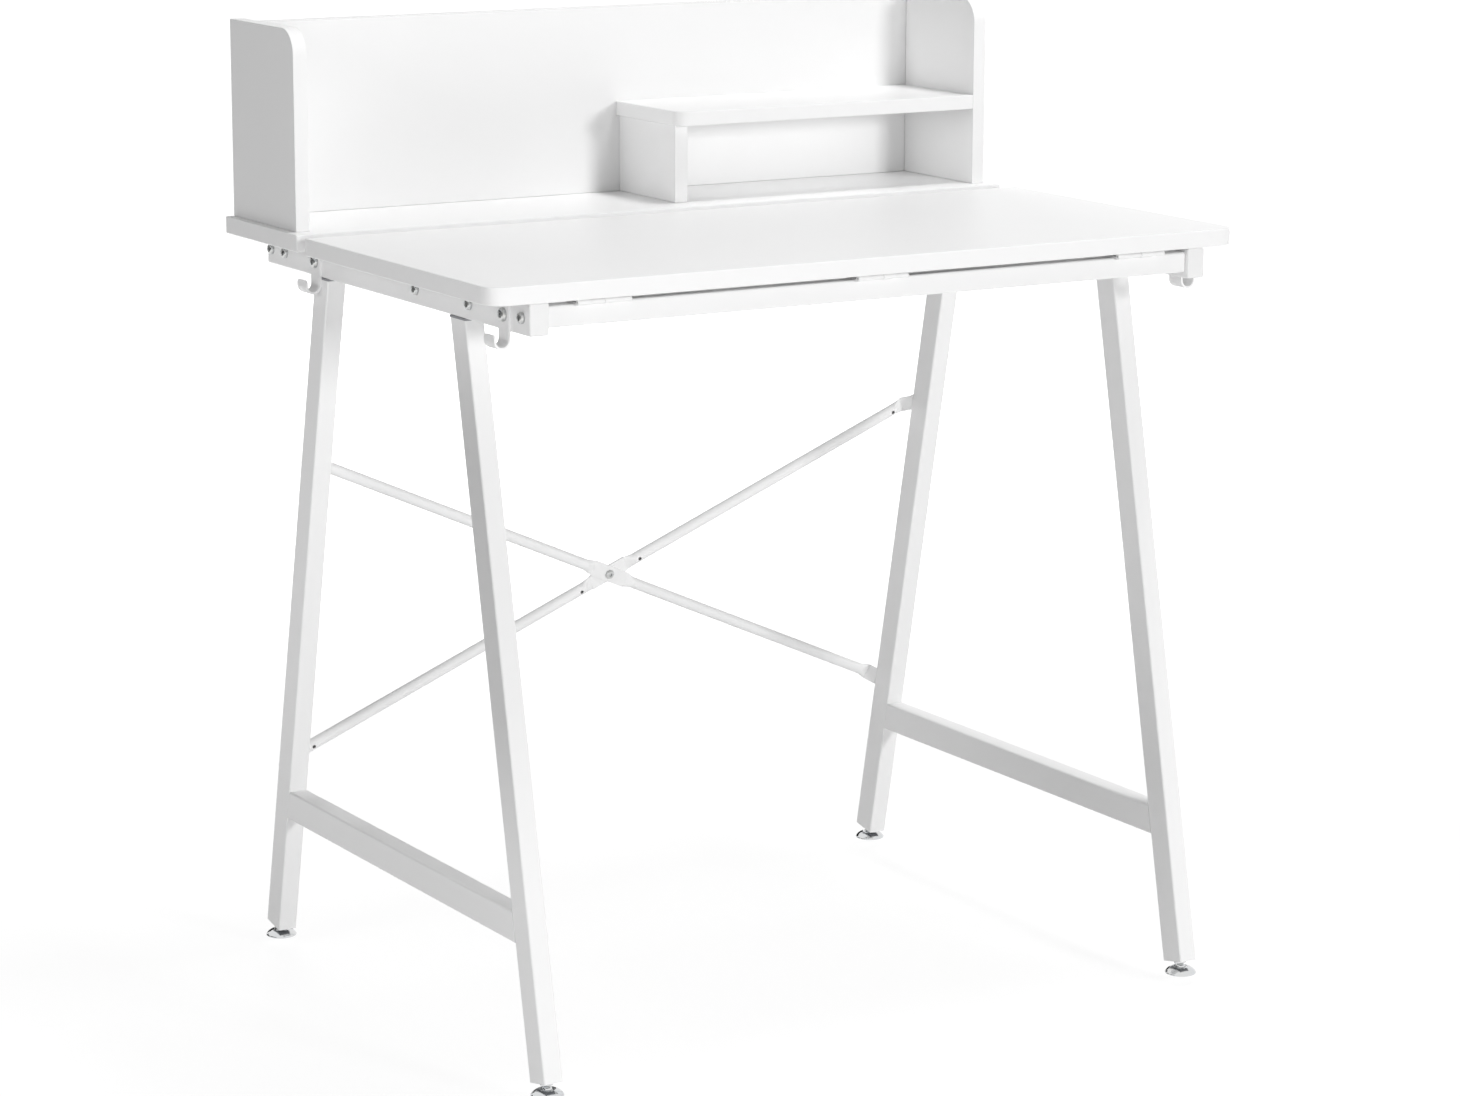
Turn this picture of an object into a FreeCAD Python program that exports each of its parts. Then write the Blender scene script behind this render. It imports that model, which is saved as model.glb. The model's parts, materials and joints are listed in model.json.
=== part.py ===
import FreeCAD, Part
import math
import os

# Drafting desk. Millimetres, +Z up, +Y to the rear, origin on the floor under the middle of the desk.

# Boards
desk_width = 834.0
desk_depth = 574.0
surface_height = 760.0
board_thickness = 17.0
top_depth = 383.0
board_gap = 25.0
top_corner_radius = 20.0
board_edge_radius = 1.0
rear_board_inset = 3.0

# Hutch
hutch_height = 197.0
panel_thickness = 15.0
panel_inset = 8.5
panel_front_setback = 19.0
panel_rear_setback = 1.0
panel_corner_radius = 25.0
back_panel_drop = 3.0
shelf_clear_height = 80.0
shelf_length = 363.5
shelf_corner_radius = 15.0
divider_overhang = 4.0
divider_setback = 15.0

# Steel tube
tube_wide = 20.0
tube_tall = 30.0
tube_wall = 1.5
tube_corner_radius = 2.0

# Rails
rail_inset = 40.0
rail_front_setback = 1.0
rail_rear_setback = 18.0
front_rail_size = 20.0
front_rail_setback = 5.5
front_rail_gap = 4.0
rear_rail_depth = 50.0
rear_rail_setback = 20.0
rear_rail_screw_spacing = 32.0
cap_head = 2.0
cap_edge_radius = 1.8
cap_depth = 5.0
plug_depth = 25.0

# Legs, stretchers and glides
leg_angle = 11.7
leg_top_spread = 160.0
leg_plug_flange = 2.0
leg_plug_depth = 24.0
leg_end_height = 13.0
stretcher_top = 167.5
insert_depth = 30.0
glide_radius = 16.0
glide_rim = 1.5
glide_height = 7.0
glide_shoulder_radius = 7.5
ball_radius = 5.0
ball_height = 6.0
stem_radius = 4.0
stem_reach = 24.0
stem_hex = 12.0
stem_hex_thick = 2.0
stem_hex_gap = 1.0

# Cross brace
brace_high = 519.0
brace_low = 190.0
brace_tube_radius = 6.0
brace_tube_wall = 1.0
brace_offset = 8.0
brace_flat_width = 17.0
brace_flat_thick = 2.0
brace_flat_half = 22.0
brace_taper = 10.0
brace_joggle = 10.0
brace_tab_half = 9.0
brace_vent_radius = 2.0
brace_vent_inset = 5.0

# Hinges
hinge_end_inset = 57.0
hinge_length = 56.0
hinge_knuckles = 4
hinge_barrel_radius = 2.5
hinge_fixed_barrel_radius = 2.2
hinge_pin_radius = 1.2
hinge_leaf_depth = 20.0
hinge_leaf_thick = 1.2
hinge_end_gap = 0.3
hinge_screw_inset = 10.0
hinge_screw_back = 12.0

# Tilt support
tilt_limit = 30.0
prop_pivot_back = 117.2
prop_rest_back = 225.1
prop_length = 150.0
prop_arm_half = 5.0
prop_arm_thick = 4.0
prop_spacer_length = 10.0
prop_bar_wall = 1.5
prop_touch_gap = 0.5
prop_stop_gap = 0.3
rest_clip_width = 20.0
rest_clip_thick = 1.5
rest_clip_reach = 15.0
rest_gap = 0.5
cleat_width = 20.0
cleat_depth = 18.0
cleat_thick = 8.0
cleat_inset = 30.0

# J hooks
hook_front_back = 47.5
hook_rear_back = 33.0
hook_width = 20.0
hook_thick = 2.0
hook_bend_radius = 6.5
hook_top_gap = 5.0
hook_bottom_drop = 16.0
hook_tip_drop = 2.0
hook_tip_radius = 4.0

# Fasteners
screw_head_radius = 5.5
screw_head_thick = 4.0
rail_screw_radius = 3.0
hook_head_radius = 6.5
hook_screw_radius = 2.5
hook_screw_length = 11.5
pivot_radius = 2.5
nut_radius = 5.0
nut_thick = 5.0
leg_bolt_radius = 3.0
leg_bolt_head_radius = 5.0
leg_bolt_head_thick = 5.0
leg_bolt_reach = 18.0
tool_hole_radius = 6.0
brace_screw_radius = 2.5
brace_screw_length = 12.0
brace_head_radius = 5.0
brace_head_thick = 3.0
wood_screw_radius = 2.0
wood_head_radius = 3.5
wood_head_thick = 2.0
wood_screw_bite = 12.0
hinge_screw_radius = 1.25
hinge_head_radius = 2.2
hinge_screw_bite = 10.0
hinge_rail_bite = 6.0
hutch_screw_radius = 2.5
hutch_head_radius = 4.5
hutch_screw_bite = 33.0
dowel_radius = 4.0
dowel_length = 30.0
fit_gap = 0.05

# Places worked out from the sizes above
half_width = desk_width / 2
front_y = -desk_depth / 2
rear_y = desk_depth / 2
under_z = surface_height - board_thickness
rear_board_y = front_y + top_depth + board_gap
rail_out = half_width - rail_inset
rail_in = rail_out - tube_wide
rail_mid_x = (rail_out + rail_in) / 2
hinge_spacing = rail_in - hinge_end_inset
rail_low_z = under_z - tube_tall
rail_mid_z = under_z - tube_tall / 2
rail_front_y = front_y + rail_front_setback
rail_rear_y = rear_y - rail_rear_setback
front_rail_y = front_y + front_rail_setback
front_rail_mid_y = front_rail_y + front_rail_size / 2
front_rail_top = under_z - front_rail_gap
rear_rail_y = rear_y - rear_rail_setback - rear_rail_depth
rear_rail_mid_y = rear_rail_y + rear_rail_depth / 2
leg_top_z = rail_low_z - leg_plug_flange
lean = math.radians(leg_angle)
leg_slant = tube_tall / math.cos(lean)
leg_axis_y = leg_top_spread - leg_slant / 2
hinge_y = front_y + hinge_barrel_radius
hinge_z = under_z - hinge_barrel_radius
prop_pivot_y = front_y + prop_pivot_back
prop_rest_y = front_y + prop_rest_back
prop_arm_out = rail_in - prop_spacer_length
prop_arm_in = prop_arm_out - prop_arm_thick
hutch_out = half_width - rear_board_inset - panel_inset
hutch_in = hutch_out - panel_thickness
hutch_top = surface_height + hutch_height
panel_front_y = rear_board_y + panel_front_setback
panel_rear_y = rear_y - panel_rear_setback
back_front_y = panel_rear_y - panel_thickness
shelf_low_z = surface_height + shelf_clear_height
shelf_top_z = shelf_low_z + panel_thickness
shelf_left_x = hutch_in - shelf_length
divider_x = shelf_left_x + divider_overhang
divider_y = panel_front_y + divider_setback

vector = FreeCAD.Vector
along_x = vector(1, 0, 0)
along_y = vector(0, 1, 0)
along_z = vector(0, 0, 1)
sides = {"left": -1, "right": 1}
ends = {"front": -1, "rear": 1}
full_turn = 360
hex_sides = 6


def box(x, y, z):
    return Part.makeBox(x[1] - x[0], y[1] - y[0], z[1] - z[0], vector(x[0], y[0], z[0]))


def rod(radius, start, direction, length):
    return Part.makeCylinder(radius, length, start, direction)


def mirrored_span(side, inner, outer):
    return sorted((side * inner, side * outer))


def placed(shape, origin, x_axis, z_axis):
    y_axis = z_axis.cross(x_axis)
    matrix = FreeCAD.Matrix(
        x_axis.x, y_axis.x, z_axis.x, origin.x,
        x_axis.y, y_axis.y, z_axis.y, origin.y,
        x_axis.z, y_axis.z, z_axis.z, origin.z,
        0, 0, 0, 1,
    )
    moved = shape.copy()
    moved.Placement = FreeCAD.Placement(matrix).multiply(moved.Placement)
    return moved


def rounded_rectangle(wide, tall, radius):
    half_w = wide / 2
    half_t = tall / 2
    flat = Part.makePlane(wide, tall, vector(-half_w, -half_t, 0))
    block = flat.extrude(along_z)
    block = block.makeFillet(radius, edge_at(block, along_z))
    return [w for w in block.Wires if w.BoundBox.ZLength < fit_gap and w.BoundBox.ZMax < fit_gap][0]


def tube_bar(wide, tall, length, wall=tube_wall):
    outer = Part.Face(rounded_rectangle(wide, tall, tube_corner_radius)).extrude(along_z * length)
    inner_radius = max(tube_corner_radius - wall, fit_gap)
    inner_wire = rounded_rectangle(wide - 2 * wall, tall - 2 * wall, inner_radius)
    return outer.cut(Part.Face(inner_wire).extrude(along_z * length))


def tube_filler(wide, tall, length):
    inner_wide = wide - 2 * tube_wall - 2 * fit_gap
    inner_tall = tall - 2 * tube_wall - 2 * fit_gap
    radius = max(tube_corner_radius - tube_wall, fit_gap) + fit_gap
    return Part.Face(rounded_rectangle(inner_wide, inner_tall, radius)).extrude(along_z * length)


def softened(shape, radius=board_edge_radius):
    return shape.makeFillet(radius, shape.Edges)


def edge_at(shape, direction, x=None, y=None, z=None):
    found = []
    for edge in shape.Edges:
        low = edge.Vertexes[0].Point
        high = edge.Vertexes[-1].Point
        middle = (low + high) / 2
        wanted = ((x, middle.x), (y, middle.y), (z, middle.z))
        if (high - low).normalize().cross(direction).Length > fit_gap:
            continue
        if all(want is None or abs(want - is_at) < fit_gap for want, is_at in wanted):
            found.append(edge)
    return found


def board(x, y, z, round_edges=(), radius=0.0):
    blank = box(x, y, z)
    for direction, place in round_edges:
        blank = blank.makeFillet(radius, edge_at(blank, direction, **place))
    return softened(blank)


def cap_screw(head_radius, head_thick, radius, length, seat, direction):
    head = rod(head_radius, seat - direction * head_thick, direction, head_thick)
    middle = seat - direction * head_thick / 2
    far_rim = [e for e in head.Edges if e.Closed and (e.CenterOfMass - middle).dot(direction) < 0]
    head = head.makeFillet(head_thick / 2, far_rim)
    return head.fuse(rod(radius, seat, direction, length)).removeSplitter()


def flush_screw(head_radius, radius, length, mouth, direction):
    cone_height = head_radius - radius
    head = Part.makeCone(head_radius, radius, cone_height, mouth, direction)
    return head.fuse(rod(radius, mouth + direction * cone_height, direction, length - cone_height))


def flush_hole(head_radius, radius, length, mouth, direction):
    return flush_screw(head_radius + fit_gap, radius + fit_gap, length + fit_gap, mouth, direction)


def bored(shape, radius, start, direction, length):
    return shape.cut(rod(radius + fit_gap, start, direction, length))


def save(name, *solids):
    shape = solids[0] if len(solids) == 1 else Part.makeCompound(list(solids))
    shape.exportStep(os.path.join("parts", name + ".step"))


def leg_direction(end):
    return vector(0, -end * math.sin(lean), math.cos(lean))


def leg_axis_point(side, end, z):
    return vector(side * rail_mid_x, end * (leg_axis_y + math.tan(lean) * (rail_low_z - z)), z)


def leg_face_y(z):
    return leg_axis_y - leg_slant / 2 + math.tan(lean) * (rail_low_z - z)


# Frame of the plane on the backs of the rear legs: X across, up along the legs, and out to the rear
brace_mid_z = (brace_high + brace_low) / 2
brace_up = leg_direction(1)
brace_out = along_x.cross(brace_up) * -1
brace_origin = vector(0, leg_face_y(brace_mid_z) + leg_slant, brace_mid_z)
brace_rise = (brace_high - brace_low) / 2 / math.cos(lean)
brace_half = math.hypot(rail_mid_x, brace_rise)


def brace_point(across, up, out):
    return brace_origin + along_x * across + brace_up * up + brace_out * out


def brace_screw_seats():
    return [brace_point(s * rail_mid_x, u * brace_rise, 0) for s in (-1, 1) for u in (-1, 1)]


def hook_places():
    places = []
    for side_name, side in sides.items():
        places.append(("front_" + side_name, side, front_y + hook_front_back))
        places.append(("rear_" + side_name, side, rear_board_y + hook_rear_back))
    return places


def rail_screw_places():
    rear_half = rear_rail_screw_spacing / 2
    spots = [(front_rail_mid_y, front_rail_top - front_rail_size / 2)]
    spots += [(rear_rail_mid_y + s * rear_half, rail_mid_z) for s in (-1, 1)]
    return [(side, y, z) for side in sides.values() for y, z in spots]


def across_hole(side, y, z, radius, depth):
    start = vector(side * rail_out, y, z)
    return rod(radius + fit_gap, start, along_x * -side, depth)


def hutch_screw_spots():
    panel_x = (hutch_out + hutch_in) / 2
    quarter = (panel_rear_y - panel_front_y) / 4
    spots = [(s * panel_x, panel_front_y + k * quarter) for s in (-1, 1) for k in (1, 3)]
    divider_mid_x = divider_x + panel_thickness / 2
    divider_run = (back_front_y - divider_y) / 4
    spots += [(divider_mid_x, divider_y + k * divider_run) for k in (1, 3)]
    back_mid_y = (back_front_y + panel_rear_y) / 2
    spots += [(s * hutch_in * k / 4, back_mid_y) for s in (-1, 1) for k in (1, 3)]
    return [vector(x, y, under_z) for x, y in spots]


def hutch_screw_holes():
    length = board_thickness + hutch_screw_bite
    spots = hutch_screw_spots()
    return [flush_hole(hutch_head_radius, hutch_screw_radius, length, mouth, along_z) for mouth in spots]


def dowel_lines():
    # Start and direction of each dowel, which ends half a panel deep in the piece that it points at.
    tail = dowel_length - panel_thickness / 2
    shelf_mid_z = shelf_low_z + panel_thickness / 2
    divider_mid_x = divider_x + panel_thickness / 2
    back_mid_y = (back_front_y + panel_rear_y) / 2
    shelf_third = (back_front_y - panel_front_y) / 3
    divider_third = (back_front_y - divider_y) / 3
    lines = []
    for k in (1, 2):
        lines.append((vector(hutch_in - tail, panel_front_y + k * shelf_third, shelf_mid_z), along_x))
        lines.append((vector(divider_mid_x, divider_y + k * divider_third, shelf_low_z - tail), along_z))
        back_z = surface_height + hutch_height * k / 3
        for side in sides.values():
            lines.append((vector(side * (hutch_in - tail), back_mid_y, back_z), along_x * side))
    return lines


def dowel_holes():
    length = dowel_length + 2 * fit_gap
    return [rod(dowel_radius + fit_gap, start - way * fit_gap, way, length) for start, way in dowel_lines()]


hinge_places = {"left": -hinge_spacing, "middle": 0.0, "right": hinge_spacing}


def hinge_screw_spots(x):
    reach = hinge_length / 2 - hinge_screw_inset
    return [(x + s * reach, hinge_y + hinge_screw_back) for s in (-1, 1)]


def hinge_leaf(x, upper):
    first = 0 if upper else 1
    radius = hinge_barrel_radius if upper else hinge_fixed_barrel_radius
    plate_top = under_z if upper else front_rail_top + hinge_leaf_thick
    plate_low = plate_top - hinge_leaf_thick
    pitch = hinge_length / hinge_knuckles
    start_x = x - hinge_length / 2
    root = hinge_barrel_radius + hinge_end_gap
    plate_x = (start_x, start_x + hinge_length)
    leaf = box(plate_x, (hinge_y + root, hinge_y + hinge_leaf_depth), (plate_low, plate_top))
    for index in range(first, hinge_knuckles, 2):
        low_x = start_x + index * pitch + hinge_end_gap / 2
        high_x = low_x + pitch - hinge_end_gap
        barrel = rod(radius, vector(low_x, hinge_y, hinge_z), along_x, high_x - low_x)
        tongue = box((low_x, high_x), (hinge_y, hinge_y + root), (plate_low, plate_top))
        leaf = leaf.fuse(barrel).fuse(tongue)
    leaf = bored(leaf, hinge_pin_radius, vector(start_x, hinge_y, hinge_z), along_x, hinge_length)
    for screw_x, screw_y in hinge_screw_spots(x):
        mouth = vector(screw_x, screw_y, plate_low if upper else plate_top)
        way = along_z if upper else along_z * -1
        leaf = leaf.cut(flush_hole(hinge_head_radius, hinge_screw_radius, hinge_screw_bite, mouth, way))
    return leaf.removeSplitter()


def prop_limit():
    # Angle of the support at full tilt, where its bar lies just under the raised board.
    tilt = math.radians(tilt_limit)
    pivot_u = prop_pivot_y - hinge_y
    pivot_v = rail_mid_z - hinge_z
    turned_v = pivot_v * math.cos(tilt) - pivot_u * math.sin(tilt)
    bar_v = hinge_barrel_radius - prop_arm_half - prop_touch_gap
    return tilt + math.asin((bar_v - turned_v) / prop_length)


def cleat_stop_y():
    # Place on the flat board of the bar's front side at full tilt.
    tilt = math.radians(tilt_limit)
    pivot_u = prop_pivot_y - hinge_y
    pivot_v = rail_mid_z - hinge_z
    turned_u = pivot_u * math.cos(tilt) + pivot_v * math.sin(tilt)
    bar_u = turned_u + prop_length * math.cos(prop_limit() - tilt)
    return hinge_y + bar_u - prop_arm_half - prop_stop_gap


def cleat_screw_mouth(side):
    middle_y = cleat_stop_y() - cleat_depth / 2
    return vector(side * (prop_arm_in - cleat_inset), middle_y, under_z - cleat_thick)


def board_screw_seats():
    seat_z = under_z - tube_wall
    third = rail_in / 3
    return [vector(k * third, rear_rail_mid_y, seat_z) for k in (-2, -1, 1, 2)]


def make_boards():
    corner = [(along_z, {"x": s * half_width, "y": front_y}) for s in (-1, 1)]
    depth = (front_y, front_y + top_depth)
    thick = (under_z, surface_height)
    top = board((-half_width, half_width), depth, thick, corner, top_corner_radius)
    for x in hinge_places.values():
        for screw_x, screw_y in hinge_screw_spots(x):
            mouth = vector(screw_x, screw_y, under_z - hinge_leaf_thick)
            hole = flush_hole(hinge_head_radius, hinge_screw_radius, hinge_screw_bite, mouth, along_z)
            top = top.cut(hole)
    bite = cleat_thick + wood_screw_bite
    for side in sides.values():
        mouth = cleat_screw_mouth(side)
        top = top.cut(flush_hole(wood_head_radius, wood_screw_radius, bite, mouth, along_z))
    save("tilting_top", top)

    rear_half = half_width - rear_board_inset
    rear = board((-rear_half, rear_half), (rear_board_y, rear_y), thick)
    rear = rear.cut(Part.makeCompound(hutch_screw_holes()))
    for seat in board_screw_seats():
        rear = bored(rear, wood_screw_radius, seat, along_z, tube_wall + wood_screw_bite)
    save("rear_board", rear)


def make_hutch():
    holes = Part.makeCompound(hutch_screw_holes() + dowel_holes())
    for name, side in sides.items():
        x = mirrored_span(side, hutch_in, hutch_out)
        corner = [(along_x, {"y": panel_front_y, "z": hutch_top})]
        depth = (panel_front_y, panel_rear_y)
        panel = board(x, depth, (surface_height, hutch_top), corner, panel_corner_radius)
        save("hutch_" + name + "_panel", panel.cut(holes))

    back_span = (-hutch_in, hutch_in)
    back = board(back_span, (back_front_y, panel_rear_y), (surface_height, hutch_top - back_panel_drop))
    save("hutch_back_panel", back.cut(holes))

    corner = [(along_z, {"x": shelf_left_x, "y": panel_front_y})]
    depth = (panel_front_y, back_front_y)
    shelf = board((shelf_left_x, hutch_in), depth, (shelf_low_z, shelf_top_z), corner, shelf_corner_radius)
    save("hutch_shelf", shelf.cut(holes))

    width = (divider_x, divider_x + panel_thickness)
    divider = board(width, (divider_y, back_front_y), (surface_height, shelf_low_z))
    save("shelf_divider", divider.cut(holes))

    length = board_thickness + hutch_screw_bite
    spots = hutch_screw_spots()
    save(
        "hutch_screws",
        *[flush_screw(hutch_head_radius, hutch_screw_radius, length, mouth, along_z) for mouth in spots],
    )
    save("hutch_dowels", *[rod(dowel_radius, start, way, dowel_length) for start, way in dowel_lines()])


def make_side_rails():
    caps = []
    for name, side in sides.items():
        start = vector(side * rail_mid_x, rail_front_y + cap_head, rail_mid_z)
        length = rail_rear_y - rail_front_y - 2 * cap_head
        rail = placed(tube_bar(tube_wide, tube_tall, length), start, along_x, along_y)
        for screw_side, y, z in rail_screw_places():
            rail = rail.cut(across_hole(screw_side, y, z, rail_screw_radius, tube_wide))
        for _, hook_side, y in hook_places():
            rail = rail.cut(across_hole(hook_side, y, rail_mid_z, hook_screw_radius, tube_wide / 2))
        for y in (prop_pivot_y, prop_rest_y):
            rail = rail.cut(across_hole(side, y, rail_mid_z, pivot_radius, tube_wide))
        for end in ends.values():
            bolt = vector(side * rail_mid_x, end * leg_axis_y, rail_low_z)
            rail = bored(rail, leg_bolt_radius, bolt, along_z, tube_tall / 2)
            rail = rail.cut(rod(tool_hole_radius, bolt + along_z * tube_tall / 2, along_z, tube_tall / 2))
        save("side_rail_" + name, rail)
        for end_y, way in ((rail_front_y, along_y), (rail_rear_y, along_y * -1)):
            centre = vector(side * rail_mid_x, end_y, rail_mid_z)
            head_wire = rounded_rectangle(tube_wide, tube_tall, tube_corner_radius)
            head = Part.Face(head_wire).extrude(along_z * cap_head)
            outer_rim = [e for e in head.Edges if e.BoundBox.ZMax < fit_gap]
            head = head.makeFillet(cap_edge_radius, outer_rim)
            stem = tube_filler(tube_wide, tube_tall, cap_depth)
            stem.translate(along_z * cap_head)
            caps.append(placed(head.fuse(stem), centre, along_x, way))
    save("rail_end_caps", *caps)


def make_cross_rails():
    front_mid = vector(-rail_in, front_rail_mid_y, front_rail_top - front_rail_size / 2)
    front = placed(tube_bar(front_rail_size, front_rail_size, 2 * rail_in), front_mid, along_y, along_x)
    for x in hinge_places.values():
        for screw_x, screw_y in hinge_screw_spots(x):
            mouth = vector(screw_x, screw_y, front_rail_top)
            front = bored(front, hinge_screw_radius, mouth, along_z * -1, hinge_rail_bite)
    save("front_rail", front)

    rear_mid = vector(-rail_in, rear_rail_mid_y, rail_mid_z)
    rear = placed(tube_bar(rear_rail_depth, tube_tall, 2 * rail_in), rear_mid, along_y, along_x)
    for seat in board_screw_seats():
        rear = bored(rear, wood_screw_radius, seat, along_z, tube_wall)
        rear = rear.cut(rod(tool_hole_radius, vector(seat.x, seat.y, rail_low_z), along_z, tube_wall))
    save("rear_rail", rear)

    plugs = []
    for side in sides.values():
        for deep, tall, middle in (
            (front_rail_size, front_rail_size, front_mid),
            (rear_rail_depth, tube_tall, rear_mid),
        ):
            end = vector(side * rail_in, middle.y, middle.z)
            plug = placed(tube_filler(deep, tall, plug_depth), end, along_y * side, along_x * -side)
            for screw_side, y, z in rail_screw_places():
                plug = plug.cut(across_hole(screw_side, y, z, rail_screw_radius, tube_wide + plug_depth))
            plugs.append(plug)
    save("rail_plugs", *plugs)

    screws = []
    for side, y, z in rail_screw_places():
        seat = vector(side * rail_out, y, z)
        length = tube_wide + plug_depth - tube_wall
        way = along_x * -side
        screws.append(cap_screw(screw_head_radius, screw_head_thick, rail_screw_radius, length, seat, way))
    save("rail_screws", *screws)
    length = tube_wall + wood_screw_bite
    board_screws = []
    for seat in board_screw_seats():
        screw = cap_screw(wood_head_radius, wood_head_thick, wood_screw_radius, length, seat, along_z)
        board_screws.append(screw)
    save("rear_board_screws", *board_screws)


def floor_slab(low_z, high_z):
    return box((-desk_width, desk_width), (-desk_depth, desk_depth), (low_z, high_z))


def make_legs():
    top_plugs = []
    bolts = []
    inserts = []
    above = floor_slab(leg_top_z, hutch_top)
    below = floor_slab(0, leg_top_z - leg_plug_depth)
    for end_name, end in ends.items():
        for side_name, side in sides.items():
            way = leg_direction(end)
            foot = leg_axis_point(side, end, leg_end_height)
            length = (rail_low_z - leg_end_height) / math.cos(lean) + tube_tall
            leg = placed(tube_bar(tube_wide, tube_tall, length), foot, along_x, way).cut(above)
            if end == ends["rear"]:
                for seat in brace_screw_seats():
                    leg = bored(leg, brace_screw_radius, seat, brace_out * -1, brace_screw_length)
            save("leg_" + end_name + "_" + side_name, leg)

            bolt_mid = vector(side * rail_mid_x, end * leg_axis_y, rail_low_z)
            filler = placed(tube_filler(tube_wide, tube_tall, length), foot, along_x, way).cut(above)
            flange_y = (bolt_mid.y - leg_slant / 2, bolt_mid.y + leg_slant / 2)
            flange = box(mirrored_span(side, rail_in, rail_out), flange_y, (leg_top_z, rail_low_z))
            plug = filler.cut(below).fuse(flange).removeSplitter()
            top_plugs.append(bored(plug, leg_bolt_radius, bolt_mid, along_z * -1, leg_bolt_reach))

            seat = bolt_mid + along_z * tube_wall
            head = (leg_bolt_head_radius, leg_bolt_head_thick)
            bolts.append(cap_screw(*head, leg_bolt_radius, leg_bolt_reach, seat, along_z * -1))
            insert = placed(tube_filler(tube_wide, tube_tall, insert_depth), foot, along_x, way)
            inserts.append(bored(insert, stem_radius, foot, way, insert_depth))
    save("leg_top_plugs", *top_plugs)
    save("leg_bolts", *bolts)
    save("leg_foot_inserts", *inserts)


def make_stretchers():
    low = stretcher_top - tube_tall
    reach = leg_face_y(0)
    between = [
        vector(0, -leg_face_y(low), low),
        vector(0, leg_face_y(low), low),
        vector(0, leg_face_y(stretcher_top), stretcher_top),
        vector(0, -leg_face_y(stretcher_top), stretcher_top),
    ]
    profile = Part.Face(Part.makePolygon(between + between[:1]))
    for name, side in sides.items():
        start = vector(side * rail_mid_x, -reach, low + tube_tall / 2)
        bar = placed(tube_bar(tube_wide, tube_tall, 2 * reach), start, along_x, along_y)
        room = profile.extrude(along_x * tube_wide)
        room.translate(along_x * mirrored_span(side, rail_in, rail_out)[0])
        save("stretcher_" + name, bar.common(room))


def glide_base(ball):
    rim = vector(glide_radius, 0, glide_rim)
    shoulder = vector(glide_shoulder_radius, 0, glide_height)
    crown = vector(glide_radius - glide_rim, 0, glide_height / 2)
    centre = vector(0, 0, 0)
    straight = Part.makePolygon([shoulder, along_z * glide_height, centre, along_x * glide_radius, rim])
    dome = Part.Arc(rim, crown, shoulder).toShape()
    base = Part.Face(Part.Wire(straight.Edges + [dome])).revolve(centre, along_z, full_turn)
    base.translate(vector(ball.x, ball.y, 0))
    return base.cut(Part.makeSphere(ball_radius + fit_gap, ball))


def hexagonal_prism(across_flats, thick):
    corner = across_flats / 2 / math.cos(math.pi / hex_sides)
    turns = [math.radians(full_turn / hex_sides * k) for k in range(hex_sides + 1)]
    ring = [vector(corner * math.cos(turn), corner * math.sin(turn), 0) for turn in turns]
    return Part.Face(Part.makePolygon(ring)).extrude(along_z * thick)


def make_glides():
    for end_name, end in ends.items():
        for side_name, side in sides.items():
            corner_name = end_name + "_" + side_name
            way = leg_direction(end)
            foot = leg_axis_point(side, end, leg_end_height)
            ball = leg_axis_point(side, end, ball_height)
            save("glide_base_" + corner_name, glide_base(ball))

            low = foot - way * (stem_hex_gap + stem_hex_thick)
            collar = placed(hexagonal_prism(stem_hex, stem_hex_thick), low, along_x, way)
            stem = rod(stem_radius, ball, way, (foot - ball).Length + stem_reach)
            stem = stem.fuse(Part.makeSphere(ball_radius, ball)).fuse(collar)
            save("glide_stem_" + corner_name, stem.removeSplitter())


def brace_section(x, z, half_wide, half_tall):
    # Oval across the bar at x; it starts on the same side at each end of a taper.
    if half_wide > half_tall:
        oval = Part.Ellipse(vector(0, 0, 0), half_wide, half_tall)
    else:
        oval = Part.Circle(vector(0, 0, 0), along_z, half_wide)
    return placed(Part.Wire(oval.toShape()), vector(x, 0, z), along_y, along_x)


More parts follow.
